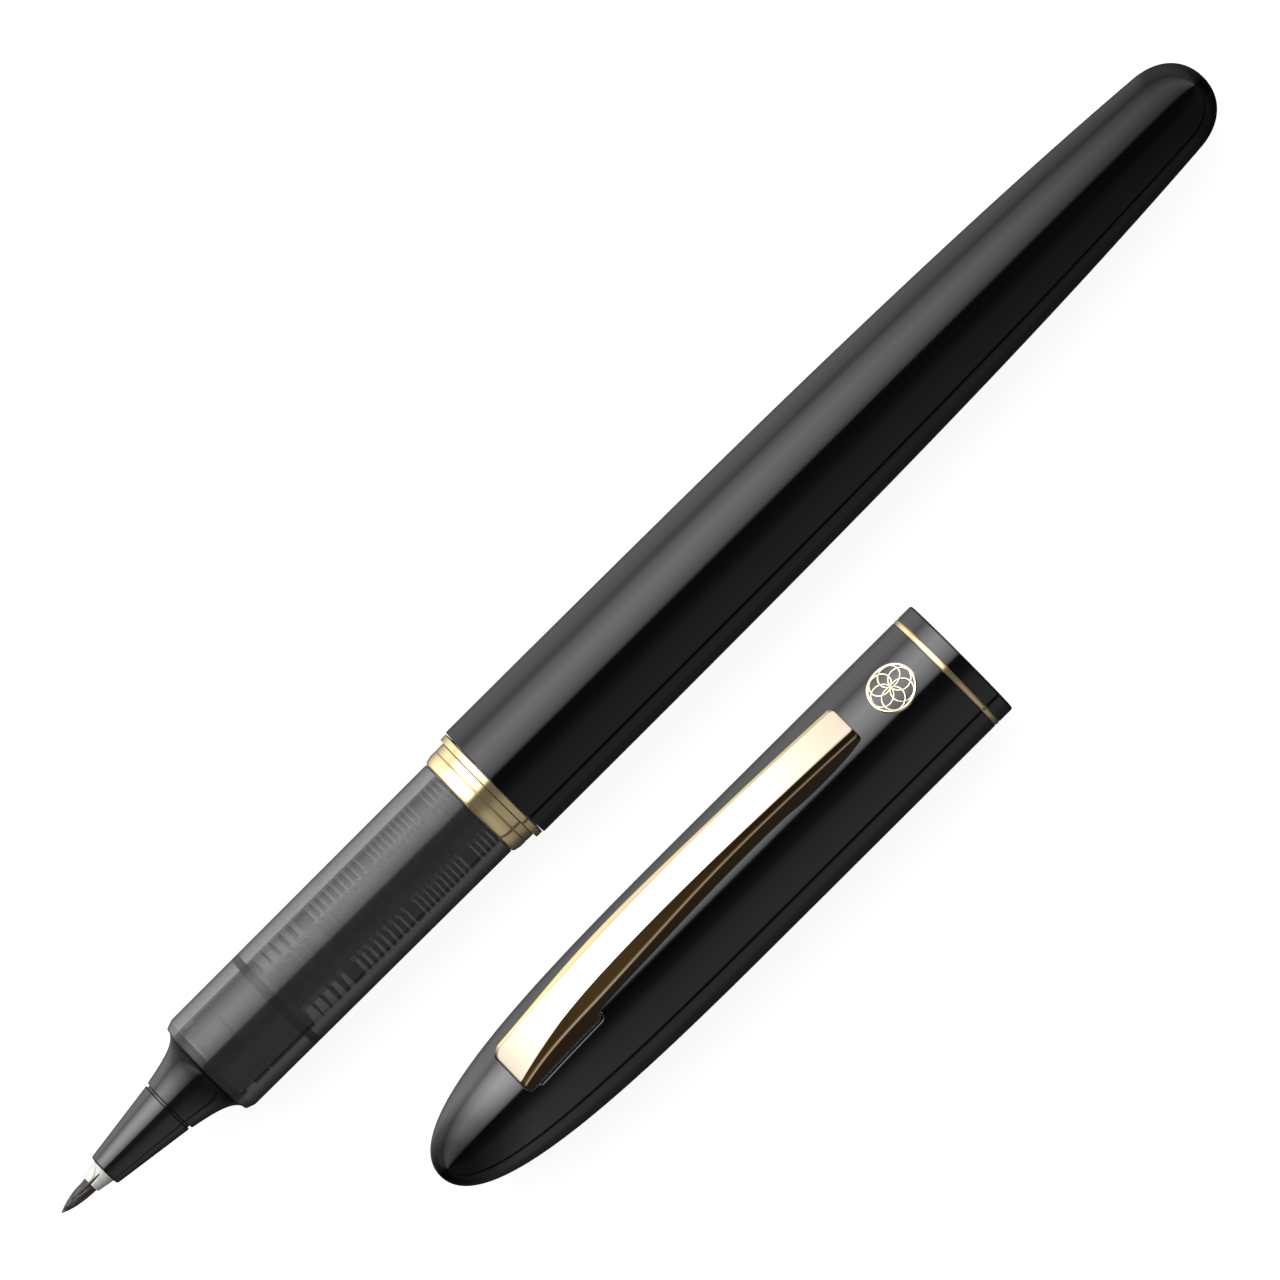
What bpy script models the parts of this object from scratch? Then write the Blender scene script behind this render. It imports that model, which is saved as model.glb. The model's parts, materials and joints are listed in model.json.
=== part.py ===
"""A capped fibre-tip pen with an ink cartridge, uncapped, its cap lying beside it.

World frame: metres, +X from the nib to the barrel's end, +Z up, the surface they lie on at Z = 0,
and the origin in the middle of the pair. Stations on the pen are millimetres back from the nib's
point; stations on the cap are millimetres from its closed end towards its lip.
"""
import math

import bmesh
import bpy
from mathutils import Matrix, Vector

MM = 0.001
SIDES = 24          # round shells
SMALL_SIDES = 16    # nib, holder and ink core
GAP = 0.05          # between nested pieces, mm

# Driving dimensions, millimetres
BARREL_MOUTH = 51.0        # station of the barrel's mouth
BARREL_LENGTH = 83.3
BARREL_R = 5.82
CAP_LENGTH = 61.33
CAP_R = 6.02
AXIS_SPACING = 20.07       # between the pen's axis and the cap's, as they lie
CAP_SETBACK = 24.6         # the cap's closed end, behind the nib's point
CLIP_ROLL = math.radians(24.5)   # the clip's turn round the cap, from straight up towards the pen

NIB_SEEN = 3.5             # length of nib that stands out of its holder
CONE_FRONT, CONE_REAR = 5.1, 12.5
GRIP_FRONT, GRIP_REAR = 17.1, 47.95
GRIP_R = 5.0
GRIP_BORE = 3.9
SPIGOT_R = 4.52            # the grip's tail, inside the gold rings
THREAD_R = 4.22            # root of the thread behind them
THREAD_HEIGHT = 0.26
THREAD_STARTS = 3
THREAD_PITCH = 1.6
THREAD_FRONT, THREAD_REAR = 51.6, 57.0
COLLAR_R = 5.33
MOUTH_RING_R = 5.71
RING_BORE = 4.6
COMB_R = 3.84
COMB_FRONT, COMB_REAR = 25.85, 51.0
WEB_HALF = 1.75            # half the comb's solid middle web
CORE_R = 0.70
NIPPLE_R = 1.50
CARTRIDGE_FRONT, CARTRIDGE_REAR = 57.6, 102.0
CARTRIDGE_R = 4.0
CARTRIDGE_BORE = 3.3
BALL_R = 1.5

CAP_BORE = 5.20
LIP_BORE = 5.45
RING_STATION = 59.53       # middle of the cap's thin gold ring
CAP_RING_WIDTH = 0.48
EMBLEM_STATION = 55.3
EMBLEM_R = 2.25

CLIP_START = 10.4          # station of the clip's fixed end
CLIP_LENGTH = 40.2
CLIP_SHEET = 0.45
SLOT_HALF = 2.5            # half the width of the slot that the clip stands in
SLOT_LENGTH = 9.1
PIVOT_ALONG, PIVOT_HEIGHT = 0.4, 4.6   # where the clip bends, from its fixed end and the cap's axis

PEN_LENGTH = BARREL_MOUTH + BARREL_LENGTH
SPREAD = BARREL_R + AXIS_SPACING + CAP_R
NIB_POINT_X = -PEN_LENGTH / 2
PEN_Y = SPREAD / 2 - BARREL_R
CAP_Y = PEN_Y - AXIS_SPACING


def clear_scene():
    for thing in list(bpy.data.objects):
        bpy.data.objects.remove(thing, do_unlink=True)


def finish(name, colour, roughness, metallic=0.0, transmission=0.0):
    material = bpy.data.materials.new(name)
    material.use_nodes = True
    shader = material.node_tree.nodes["Principled BSDF"]
    shader.inputs["Base Color"].default_value = (*colour, 1.0)
    shader.inputs["Roughness"].default_value = roughness
    shader.inputs["Metallic"].default_value = metallic
    shader.inputs["Transmission Weight"].default_value = transmission
    return material


def axis_empty(name, place, parent=None, roll=0.0):
    """An empty on a piece's axis, placed in millimetres; its children take stations along its X."""
    empty = bpy.data.objects.new(name, None)
    empty.location = Vector(place) * MM
    empty.rotation_euler = (roll, 0.0, 0.0)
    empty.parent = parent
    bpy.context.scene.collection.objects.link(empty)
    return empty


def add_object(name, mesh_maker, parent, material=None, station=0.0):
    """A new object from a bmesh in millimetres, its origin on the parent's axis."""
    mesh_maker.transform(Matrix.Scale(MM, 4))
    bmesh.ops.recalc_face_normals(mesh_maker, faces=mesh_maker.faces)
    mesh = bpy.data.meshes.new(name)
    mesh_maker.to_mesh(mesh)
    mesh_maker.free()
    mesh.shade_smooth()
    mesh.set_sharp_from_angle(angle=math.radians(35))
    thing = bpy.data.objects.new(name, mesh)
    thing.parent = parent
    thing.location.x = station * MM
    if material:
        mesh.materials.append(material)
    bpy.context.scene.collection.objects.link(thing)
    return thing


def bezier(start, lean_out, lean_in, stop, steps):
    """Points along a cubic curve from start to stop, both ends included."""
    points = []
    for step in range(steps + 1):
        t = step / steps
        weights = ((1 - t) ** 3, 3 * (1 - t) ** 2 * t, 3 * (1 - t) * t ** 2, t ** 3)
        corners = (start, lean_out, lean_in, stop)
        points.append(tuple(sum(w * c[k] for w, c in zip(weights, corners)) for k in range(2)))
    return points


def turned(profile, sides=SIDES, swell=None):
    """Turn a closed outline of (station, radius) points round the X axis."""
    solid = bmesh.new()
    rings = []
    for station, radius in profile:
        if radius <= 0.0:
            rings.append([solid.verts.new((station, 0.0, 0.0))])
            continue
        ring = []
        for side in range(sides):
            angle = 2 * math.pi * side / sides
            reach = radius + (swell(station, radius, angle) if swell else 0.0)
            ring.append(solid.verts.new((station, reach * math.cos(angle), reach * math.sin(angle))))
        rings.append(ring)
    for here, after in zip(rings, rings[1:] + rings[:1]):
        if len(here) == 1 and len(after) == 1:
            continue
        for side in range(sides):
            turn = (side + 1) % sides
            if len(here) == 1:
                solid.faces.new((here[0], after[side], after[turn]))
            elif len(after) == 1:
                solid.faces.new((here[turn], here[side], after[0]))
            else:
                solid.faces.new((here[side], after[side], after[turn], here[turn]))
    return solid


def tube(front, rear, outer, bore):
    return [(front, outer), (rear, outer), (rear, bore), (front, bore)]


def lofted(sections):
    """Join closed sections, each a list of the same number of points, and close both ends."""
    solid = bmesh.new()
    loops = [[solid.verts.new(point) for point in section] for section in sections]
    for here, after in zip(loops, loops[1:]):
        for k in range(len(here)):
            following = (k + 1) % len(here)
            solid.faces.new((here[k], here[following], after[following], after[k]))
    solid.faces.new(loops[0])
    solid.faces.new(loops[-1])
    return solid


def cut(thing, cutter):
    cutter.hide_render = True
    cutter.display_type = "WIRE"
    boolean = thing.modifiers.new("cut_" + cutter.name, "BOOLEAN")
    boolean.operation = "DIFFERENCE"
    boolean.object = cutter


def thread(station, radius, angle):
    """Height of the right-hand ridges on the grip's tail: a round-topped rib once per pitch."""
    if not THREAD_FRONT < station < THREAD_REAR or radius < GRIP_BORE + 0.1:
        return 0.0
    lead_turns = station / THREAD_PITCH - THREAD_STARTS * angle / (2 * math.pi)
    fade = min(1.0, (station - THREAD_FRONT) / 0.8, (THREAD_REAR - station) / 0.8)
    return THREAD_HEIGHT * fade * max(0.0, math.cos(2 * math.pi * lead_turns))


def make_front(axis, looks):
    """Everything that stays in the writer's hand: nib, tip, grip, ink comb and gold collar."""
    nib = bezier((0.0, 0.0), (0.9, 0.45), (2.0, 0.66), (NIB_SEEN, 0.71), 7) + [(15.0, 0.71), (15.0, 0.0)]
    add_object("nib", turned(nib, SMALL_SIDES), axis, looks["felt"])

    holder_bore = 0.71 + GAP
    holder = [(NIB_SEEN, 0.86), (CONE_FRONT, 1.15), (15.9, 1.15), (15.9, holder_bore),
              (NIB_SEEN, holder_bore)]
    add_object("nib_holder", turned(holder, SMALL_SIDES), axis, looks["pale"])

    cone = [(CONE_FRONT, 1.32), (CONE_FRONT + 0.22, 1.56), (CONE_REAR, 2.54), (CONE_REAR, 1.95),
            (16.0, 1.95), (16.0, 1.2), (CONE_FRONT, 1.2)]
    add_object("tip_cone", turned(cone), axis, looks["gloss"])

    flare = bezier((12.8, 2.63), (15.1, 3.08), (16.6, 3.42), (GRIP_FRONT - 0.03, 4.36), 7)
    plug_r = GRIP_BORE - GAP
    housing = flare + [(GRIP_FRONT - 0.03, plug_r), (21.0, plug_r), (21.0, 1.25), (16.1, 1.25),
                       (16.1, 2.0), (12.8, 2.0)]
    add_object("front_housing", turned(housing), axis, looks["gloss"])

    add_grip(axis, looks["smoke"])
    add_collector(axis, looks["comb"])
    add_object("collector_seal", turned(tube(24.9, 25.75, plug_r, 3.25)), axis, looks["rubber"])
    add_object("feed_core", turned([(15.1, 0.0), (15.1, CORE_R), (60.3, CORE_R), (60.3, 0.0)], SMALL_SIDES),
               axis, looks["felt"])

    nipple_bore = CORE_R + GAP
    nipple = [(51.1, 3.6), (51.9, 3.6), (51.9, NIPPLE_R), (60.0, NIPPLE_R), (60.5, 1.2),
              (60.5, nipple_bore), (51.1, nipple_bore)]
    add_object("feed_nipple", turned(nipple, SMALL_SIDES), axis, looks["pale"])

    collar = [(48.0, GRIP_R + 0.05), (48.65, COLLAR_R), (49.02, COLLAR_R), (49.1, COLLAR_R - 0.06),
              (49.18, COLLAR_R), (50.2, COLLAR_R), (50.2, RING_BORE), (48.0, RING_BORE)]
    add_object("collar", turned(collar), axis, looks["gold"])


def add_grip(axis, material):
    """The clear smoke-grey sleeve, with the threaded tail that the barrel screws onto."""
    turns = round((THREAD_REAR - THREAD_FRONT) / 0.27)
    threads = [(THREAD_FRONT + (THREAD_REAR - THREAD_FRONT) * k / turns, THREAD_R) for k in range(turns + 1)]
    grip = [(GRIP_FRONT, 4.67), (17.9, 4.96), (GRIP_REAR, GRIP_R + 0.05), (GRIP_REAR, SPIGOT_R),
            (THREAD_FRONT - 0.4, SPIGOT_R)] + threads
    grip += [(57.3, THREAD_R - 0.2), (57.3, GRIP_BORE), (GRIP_FRONT, GRIP_BORE)]
    add_object("grip", turned(grip, swell=thread), axis, material)


def add_collector(axis, material):
    """The ink comb: a sleeve in front, then fins either side of a solid middle web."""
    core_bore = CORE_R + GAP
    body = [(21.05, COMB_R), (24.85, COMB_R), (24.85, 3.2), (COMB_FRONT - 0.05, 3.2),
            (COMB_FRONT - 0.05, COMB_R), (COMB_REAR, COMB_R), (COMB_REAR, core_bore), (21.05, core_bore)]
    collector = add_object("collector", turned(body), axis, material)
    slots = bmesh.new()
    for front, rear in comb_slots():
        for side in (-1, 1):
            middle = Vector(((front + rear) / 2, side * (WEB_HALF + 2.5), 0.0))
            block = bmesh.ops.create_cube(slots, size=1.0)["verts"]
            bmesh.ops.scale(slots, vec=(rear - front, 5.0, 9.0), verts=block)
            bmesh.ops.translate(slots, vec=middle, verts=block)
    cut(collector, add_object("slot_cutter", slots, axis))


def comb_slots():
    """(front, rear) of each slot, in four groups that grow finer towards the cartridge."""
    groups = ((26.2, 31.0, 5, 1.0, 0.6), (32.17, 38.33, 9, 0.5, 0.33),
              (39.17, 44.6, 10, 0.3, 0.3), (45.67, 50.0, 8, 0.3, 0.3))
    slots = []
    for front, rear, count, first_width, last_width in groups:
        for k in range(count):
            share = k / (count - 1)
            width = first_width + (last_width - first_width) * share
            start = front + (rear - last_width - front) * share
            slots.append((start, start + width))
    return slots


def make_barrel(axis, looks):
    """The lacquered barrel, its threaded bush and the loose gold ring it clamps."""
    ring_front = BARREL_MOUTH - 0.75
    shoulder_r = COLLAR_R + GAP   # the cap stops on the ring's face outside this
    ring = [(ring_front, shoulder_r), (ring_front, MOUTH_RING_R), (BARREL_MOUTH - GAP, MOUTH_RING_R),
            (BARREL_MOUTH - GAP, RING_BORE), (ring_front + GAP, RING_BORE), (ring_front + GAP, shoulder_r)]
    add_object("mouth_ring", turned(ring), axis, looks["gold"])

    bush_r = 5.12
    outside = bezier((0.0, BARREL_R), (28.75, BARREL_R), (56.25, 5.79), (79.1, 4.03), 11)
    dome = bezier((79.1, 4.03), (81.7, 3.80), (BARREL_LENGTH, 2.25), (BARREL_LENGTH, 0.0), 6)
    inside = bezier((8.2, 4.98), (30.0, 4.98), (55.0, 4.95), (76.5, 3.2), 7)
    end_of_bore = bezier((76.5, 3.2), (78.6, 3.0), (80.5, 1.7), (80.5, 0.0), 3)
    mouth = [(8.2, bush_r + GAP), (0.0, bush_r + GAP)]
    outline = outside + dome[1:] + (inside + end_of_bore[1:])[::-1] + mouth
    add_object("barrel", turned(outline), axis, looks["lacquer"], BARREL_MOUTH)
    add_object("barrel_insert", turned(tube(0.05, 7.8, bush_r, RING_BORE)), axis, looks["brass"],
               BARREL_MOUTH)


def make_cartridge(axis, looks):
    """The ink cartridge on its nipple, and the loose ball that sealed its neck."""
    length = CARTRIDGE_REAR - CARTRIDGE_FRONT
    neck_bore = NIPPLE_R + GAP
    outline = [(0.0, 2.5), (3.2, 2.6), (3.6, CARTRIDGE_R), (length - 0.6, CARTRIDGE_R),
               (length, CARTRIDGE_R - 0.6), (length, 0.0), (length - 0.9, 0.0),
               (length - 0.9, CARTRIDGE_BORE), (4.2, CARTRIDGE_BORE), (3.4, neck_bore), (0.0, neck_bore)]
    add_object("cartridge", turned(outline), axis, looks["clear"], CARTRIDGE_FRONT)

    ball = bmesh.new()
    bmesh.ops.create_icosphere(ball, subdivisions=3, radius=BALL_R)
    rest = CARTRIDGE_BORE * math.cos(math.pi / SIDES) - BALL_R - GAP
    seal_ball = add_object("seal_ball", ball, axis, looks["steel"], CARTRIDGE_FRONT + 6.0)
    seal_ball.location.z = -rest * MM


def make_cap(axis, clip_side, looks):
    """The cap's shell, liner, rings and ornament."""
    spigot = 5.74
    ring_front = RING_STATION - CAP_RING_WIDTH / 2
    ring_rear = RING_STATION + CAP_RING_WIDTH / 2
    nose = bezier((0.0, 0.0), (0.0, 5.67), (16.1, CAP_R), (34.4, CAP_R), 13)
    hollow = bezier((1.6, 0.0), (1.6, 4.65), (16.1, 5.15), (30.0, CAP_BORE), 9)
    tail = [(ring_front - 0.03, CAP_R), (ring_front - 0.03, spigot), (60.6, spigot), (60.6, LIP_BORE),
            (58.3, LIP_BORE), (57.9, CAP_BORE)]
    shell = add_object("cap_shell", turned(nose + tail + hollow[::-1]), axis, looks["lacquer"])
    cut(shell, add_object("clip_slot_cutter", slot_block(), clip_side))
    recess = curved_disc(EMBLEM_R + 0.1, CAP_R - 0.22, CAP_R + 1.0)
    cut(shell, add_object("emblem_cutter", recess, clip_side, station=EMBLEM_STATION))
    badge = curved_disc(EMBLEM_R, CAP_R - 0.17, CAP_R + 0.04)
    add_object("emblem", badge, clip_side, looks["gold"], EMBLEM_STATION)

    gold_ring = tube(ring_front, ring_rear, CAP_R, spigot + 0.04)
    add_object("cap_ring", turned(gold_ring), axis, looks["gold"])
    lip = [(ring_rear + 0.03, CAP_R), (CAP_LENGTH - 0.12, CAP_R), (CAP_LENGTH, CAP_R - 0.12),
           (CAP_LENGTH, LIP_BORE), (60.65, LIP_BORE), (60.65, spigot + 0.04), (ring_rear + 0.03, spigot + 0.04)]
    add_object("cap_lip_ring", turned(lip), axis, looks["lacquer"])

    liner = [(7.8, 0.0), (7.8, 3.2), (8.3, 3.5), (22.4, 3.5), (22.4, 4.95), (23.6, 4.95), (23.6, 3.5),
             (25.8, 3.5), (25.8, 3.05), (8.8, 3.05), (8.8, 0.0)]
    add_object("inner_cap", turned(liner), axis, looks["pale"])

    anchor = lofted([[(x, -1.35, 3.75), (x, 1.35, 3.75), (x, 1.35, 4.35), (x, -1.35, 4.35)]
                     for x in (1.0, 11.4)])
    add_object("clip_anchor", anchor, clip_side, looks["steel"], CLIP_START)


def curved_disc(radius, inner, outer, spokes=16):
    """A round plate bent round the cap: spokes and two hoops, mapped onto two cylinders."""
    disc = bmesh.new()

    def on_cylinder(along, across, height):
        turn = across / CAP_R
        return disc.verts.new((along, height * math.sin(turn), height * math.cos(turn)))

    faces = []
    for height in (inner, outer):
        hub = on_cylinder(0.0, 0.0, height)
        hoops = [[on_cylinder(share * radius * math.cos(2 * math.pi * k / spokes),
                              share * radius * math.sin(2 * math.pi * k / spokes), height)
                  for k in range(spokes)] for share in (0.5, 1.0)]
        faces.append((hub, hoops))
    for hub, (middle, rim) in faces:
        for k in range(spokes):
            after = (k + 1) % spokes
            disc.faces.new((hub, middle[k], middle[after]))
            disc.faces.new((middle[k], rim[k], rim[after], middle[after]))
    low_rim, high_rim = faces[0][1][1], faces[1][1][1]
    for k in range(spokes):
        after = (k + 1) % spokes
        disc.faces.new((low_rim[k], low_rim[after], high_rim[after], high_rim[k]))
    return disc


def slot_block():
    """A round-cornered block that opens the slot the clip stands in."""
    corner = 0.6
    front = CLIP_START - 0.3
    middles = ((front + SLOT_LENGTH - corner, SLOT_HALF - corner), (front + corner, SLOT_HALF - corner),
               (front + corner, corner - SLOT_HALF), (front + SLOT_LENGTH - corner, corner - SLOT_HALF))
    outline = []
    for quarter, (along, across) in enumerate(middles):
        for step in range(5):
            angle = math.pi / 2 * (quarter + step / 4)
            outline.append((along + corner * math.cos(angle), across + corner * math.sin(angle)))
    return lofted([[(x, y, height) for x, y in outline] for height in (3.75, 7.5)])


def clip_top(along):
    """Height of the clip's flat top over the cap's axis: one long arch, read off its curve."""
    arch = bezier((0.0, 6.1), (9.0, 9.7), (22.0, 10.2), (CLIP_LENGTH, 8.15), 200)
    for (x0, h0), (x1, h1) in zip(arch, arch[1:]):
        if x0 <= along <= x1:
            return h0 + (h1 - h0) * (along - x0) / (x1 - x0)
    return arch[-1][1]


def clip_flat_half(along):
    """Half the width of the flat top: broad at the root, a waist, then nearly straight."""
    root = 0.5 * max(0.0, 1 - along / 11.0) ** 2
    return 1.30 + root + 0.10 * min(1.0, max(0.0, (along - 11.0) / 20.0))


def clip_bevel(along):
    """Width and depth of the bevel beside the flat top, widest at the waist."""
    spread = 7.0 if along < 11.0 else 12.0
    return 0.38 + 0.52 * math.exp(-((along - 11.0) / spread) ** 2)


def clip_hem():
    """(along, height) down the lower edge of the clip's side: root, arch and rounded foot."""
    root = [(0.0, 4.15), (4.3, 4.45), (8.5, 4.75)]
    arch = bezier((8.65, 6.3), (12.0, 7.5), (26.0, 8.2), (31.5, 7.25), 7)
    foot = bezier((31.5, 7.25), (33.5, 5.6), (38.3, 5.6), (CLIP_LENGTH, 6.9), 6)
    return root + arch + foot[1:]


def make_clip(pivot, material):
    """The folded sheet clip: an outer form, hollowed from below to the sheet's thickness."""
    hem = clip_hem()
    outer = [clip_section(along, height, 0.0) for along, height in hem]
    clip = add_object("clip", lofted(outer), pivot, material)
    inner = [clip_section(along, 2.0, CLIP_SHEET)
             for along in (CLIP_SHEET, 2.0, 4.3, 7.0, 10.0, 14.0, 19.0, 25.0, 31.5, 36.0, CLIP_LENGTH - CLIP_SHEET)]
    cut(clip, add_object("clip_hollow_cutter", lofted(inner), pivot))


def clip_section(along, low, inset):
    """One cross-section, drawn from the bend: side, bevel, flat top, bevel, side."""
    top = clip_top(along) - inset
    flat = clip_flat_half(along) - 0.5 * inset
    bevel = clip_bevel(along) - 0.5 * inset
    side = flat + bevel
    outline = ((-side, low), (-side, top - bevel), (-flat, top), (flat, top), (side, top - bevel), (side, low))
    return [(along - PIVOT_ALONG, y, z - PIVOT_HEIGHT) for y, z in outline]


def main():
    clear_scene()
    looks = {
        "lacquer": finish("black_lacquer", (0.012, 0.012, 0.013), 0.12),
        "gloss": finish("black_gloss_plastic", (0.015, 0.016, 0.018), 0.16),
        "smoke": finish("smoke_clear_plastic", (0.16, 0.16, 0.17), 0.08, transmission=0.85),
        "comb": finish("dark_comb_plastic", (0.03, 0.03, 0.032), 0.35),
        "pale": finish("pale_plastic", (0.72, 0.70, 0.66), 0.4),
        "felt": finish("inked_fibre", (0.035, 0.033, 0.035), 0.8),
        "rubber": finish("seal_rubber", (0.02, 0.02, 0.02), 0.7),
        "gold": finish("gold_plate", (0.83, 0.62, 0.28), 0.2, 1.0),
        "brass": finish("brass", (0.70, 0.52, 0.25), 0.3, 1.0),
        "steel": finish("steel", (0.62, 0.63, 0.65), 0.22, 1.0),
        "clear": finish("cartridge_plastic", (0.55, 0.57, 0.6), 0.15, transmission=0.7),
    }
    pen_axis = axis_empty("pen_axis", (NIB_POINT_X, PEN_Y, BARREL_R))
    cap_axis = axis_empty("cap_axis", (NIB_POINT_X + CAP_SETBACK, CAP_Y, CAP_R))
    clip_side = axis_empty("clip_side", (0.0, 0.0, 0.0), cap_axis, -CLIP_ROLL)
    clip_pivot = axis_empty("clip_pivot", (CLIP_START + PIVOT_ALONG, 0.0, PIVOT_HEIGHT), clip_side)
    make_front(pen_axis, looks)
    make_barrel(pen_axis, looks)
    make_cartridge(pen_axis, looks)
    make_cap(cap_axis, clip_side, looks)
    make_clip(clip_pivot, looks["gold"])


main()
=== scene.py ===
"""A fibre-tip pen lying uncapped beside its cap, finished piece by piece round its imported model."""
import json
import math

import bmesh
import bpy
import numpy as np
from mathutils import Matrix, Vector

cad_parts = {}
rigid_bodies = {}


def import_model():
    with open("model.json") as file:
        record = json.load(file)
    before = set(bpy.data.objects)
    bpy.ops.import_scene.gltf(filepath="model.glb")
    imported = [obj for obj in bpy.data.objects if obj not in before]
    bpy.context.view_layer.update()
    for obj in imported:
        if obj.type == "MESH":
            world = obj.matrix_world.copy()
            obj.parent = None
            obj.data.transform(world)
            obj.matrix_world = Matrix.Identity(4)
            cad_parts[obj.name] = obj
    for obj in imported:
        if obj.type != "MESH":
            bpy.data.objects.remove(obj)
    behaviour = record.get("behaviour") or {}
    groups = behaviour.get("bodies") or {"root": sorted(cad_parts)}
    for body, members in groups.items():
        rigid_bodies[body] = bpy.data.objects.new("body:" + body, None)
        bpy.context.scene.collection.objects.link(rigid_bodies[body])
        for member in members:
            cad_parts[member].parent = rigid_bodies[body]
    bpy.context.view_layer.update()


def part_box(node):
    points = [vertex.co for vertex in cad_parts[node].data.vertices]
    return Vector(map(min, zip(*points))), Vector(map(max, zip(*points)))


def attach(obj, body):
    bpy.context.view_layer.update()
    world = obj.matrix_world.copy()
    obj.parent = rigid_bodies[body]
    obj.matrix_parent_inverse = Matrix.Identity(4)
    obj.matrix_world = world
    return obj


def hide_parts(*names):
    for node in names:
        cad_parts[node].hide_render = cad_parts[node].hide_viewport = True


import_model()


# Nib. A pressed fibre point, ground to a cone and soaked in ink. Its lengthwise grooves carry the
# ink to the paper. It is pushed into its sleeve and held there by friction.

MM = 0.001
PEN_AXIS = np.array([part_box("nib")[0][0], *[sum(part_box("barrel")[k][i] for k in (0, 1)) / 2 for i in (1, 2)]])


def curve(start, lean_out, lean_in, stop, steps):
    """A cubic's points: its four corners weighted by (1-t)^3, 3t(1-t)^2, 3t^2(1-t) and t^3."""
    t = np.linspace(0.0, 1.0, steps + 1)[:, None]
    corners = [np.array(corner, float) for corner in (start, lean_out, lean_in, stop)]
    weights = ((1 - t) ** 3, 3 * t * (1 - t) ** 2, 3 * t ** 2 * (1 - t), t ** 3)
    return sum(weight * corner for weight, corner in zip(weights, corners))


def eased(outline, radius, steps=4):
    """A closed outline with its corners rounded. A corner C that turns more than 18 degrees becomes
    (1-t)^2 P + 2t(1-t) C + t^2 Q, where P and Q lie radius before and after it, and one more point
    on either side keeps the flat beside it flat. Other corners stay, repeated."""
    back, ahead = np.roll(outline, 1, -2) - outline, np.roll(outline, -1, -2) - outline
    back_length = np.maximum(np.linalg.norm(back, axis=-1, keepdims=True), 1e-9)
    ahead_length = np.maximum(np.linalg.norm(ahead, axis=-1, keepdims=True), 1e-9)
    back, ahead = back / back_length, ahead / ahead_length
    turns = (back * ahead).sum(-1, keepdims=True) > -math.cos(math.radians(18))
    room = 0.35 * np.minimum(back_length, ahead_length)
    reach = np.where(turns, np.minimum(np.asarray(radius, float)[..., None], room), 0.0)
    t = np.linspace(0.0, 1.0, steps + 1)[:, None]
    corner, before, after = (np.expand_dims(side, -2) for side in
                             (outline, outline + reach * back, outline + reach * ahead))
    bend = (1 - t) ** 2 * before + 2 * t * (1 - t) * corner + t ** 2 * after
    hold_before, hold_after = (np.expand_dims(outline + 1.4 * reach * way, -2) for way in (back, ahead))
    whole = np.concatenate([hold_before, bend, hold_after], axis=-2)
    return whole.reshape(*outline.shape[:-2], -1, 2)


def skin(*grids):
    """Quads between the neighbours of each grid of points, with equal points welded. A grid is
    (points, rows wrap, columns wrap)."""
    points, quads, count = [], [], 0
    for grid, rows_wrap, columns_wrap in grids:
        index = count + np.arange(grid.shape[0] * grid.shape[1]).reshape(grid.shape[:2])
        index = np.vstack([index, index[:1]]) if rows_wrap else index
        index = np.hstack([index, index[:, :1]]) if columns_wrap else index
        corners = [index[:-1, :-1], index[1:, :-1], index[1:, 1:], index[:-1, 1:]]
        quads.append(np.stack(corners, -1).reshape(-1, 4))
        points.append(grid.reshape(-1, 3))
        count += len(points[-1])
    points, home = np.unique(np.round(np.vstack(points), 5), axis=0, return_inverse=True)
    return points, home.reshape(-1)[np.vstack(quads)]


def turned(outline, sides=192, ease=0.08, swell=None):
    """A closed outline swept round the X axis: its point (station, r) at angle a goes to
    (station, r cos a, r sin a). swell(station, r, a) adds to r."""
    outline = eased(np.array(outline, float), np.where(np.array(outline)[:, 1] > 0, ease, 0.0))
    angle = 2 * np.pi * np.arange(sides) / sides
    station, reach = outline[:, :1] + 0 * angle, outline[:, 1:] + 0 * angle
    if swell:
        reach = reach + swell(station, reach, angle)
    return np.stack([station, reach * np.cos(angle), reach * np.sin(angle)], -1), True, True


def shaped(name, surface, axis, roll=0.0):
    """An object from a welded surface in millimetres, on an axis and turned round it by roll."""
    points, quads = surface
    x, y, z = points.T
    turn = np.array([x, y * math.cos(roll) - z * math.sin(roll), y * math.sin(roll) + z * math.cos(roll)]).T
    same = quads == np.roll(quads, -1, axis=1)
    whole, pinched = quads[~same.any(1)], same.sum(1) == 1
    triangles = quads[pinched][~same[pinched]].reshape(-1, 3)
    mesh = bpy.data.meshes.new(name)
    mesh.from_pydata((turn * MM + axis).tolist(), [], whole.tolist() + triangles.tolist())
    worked = bmesh.new()
    worked.from_mesh(mesh)
    bmesh.ops.recalc_face_normals(worked, faces=worked.faces)
    worked.to_mesh(mesh)
    worked.free()
    mesh.shade_smooth()
    piece = bpy.data.objects.new(name, mesh)
    bpy.context.scene.collection.objects.link(piece)
    return piece


def settle(piece, body, slot, material, *nodes):
    """The piece gets its material, rides on a body and stands for some CAD nodes."""
    piece.data.materials.append(material)
    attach(piece, body)
    if nodes:
        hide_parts(*nodes)


def add_piece(name, surface, axis, body, slot, material, *nodes, roll=0.0):
    """A piece made and settled in one call."""
    settle(shaped(name, surface, axis, roll), body, slot, material, *nodes)


def finish(name, **sockets):
    """A Principled material with these sockets set."""
    material = bpy.data.materials.new(name)
    material.use_nodes = True
    shader = material.node_tree.nodes["Principled BSDF"]
    for socket, value in sockets.items():
        shader.inputs[socket.replace("_", " ")].default_value = value
    return material, material.node_tree, shader


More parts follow.
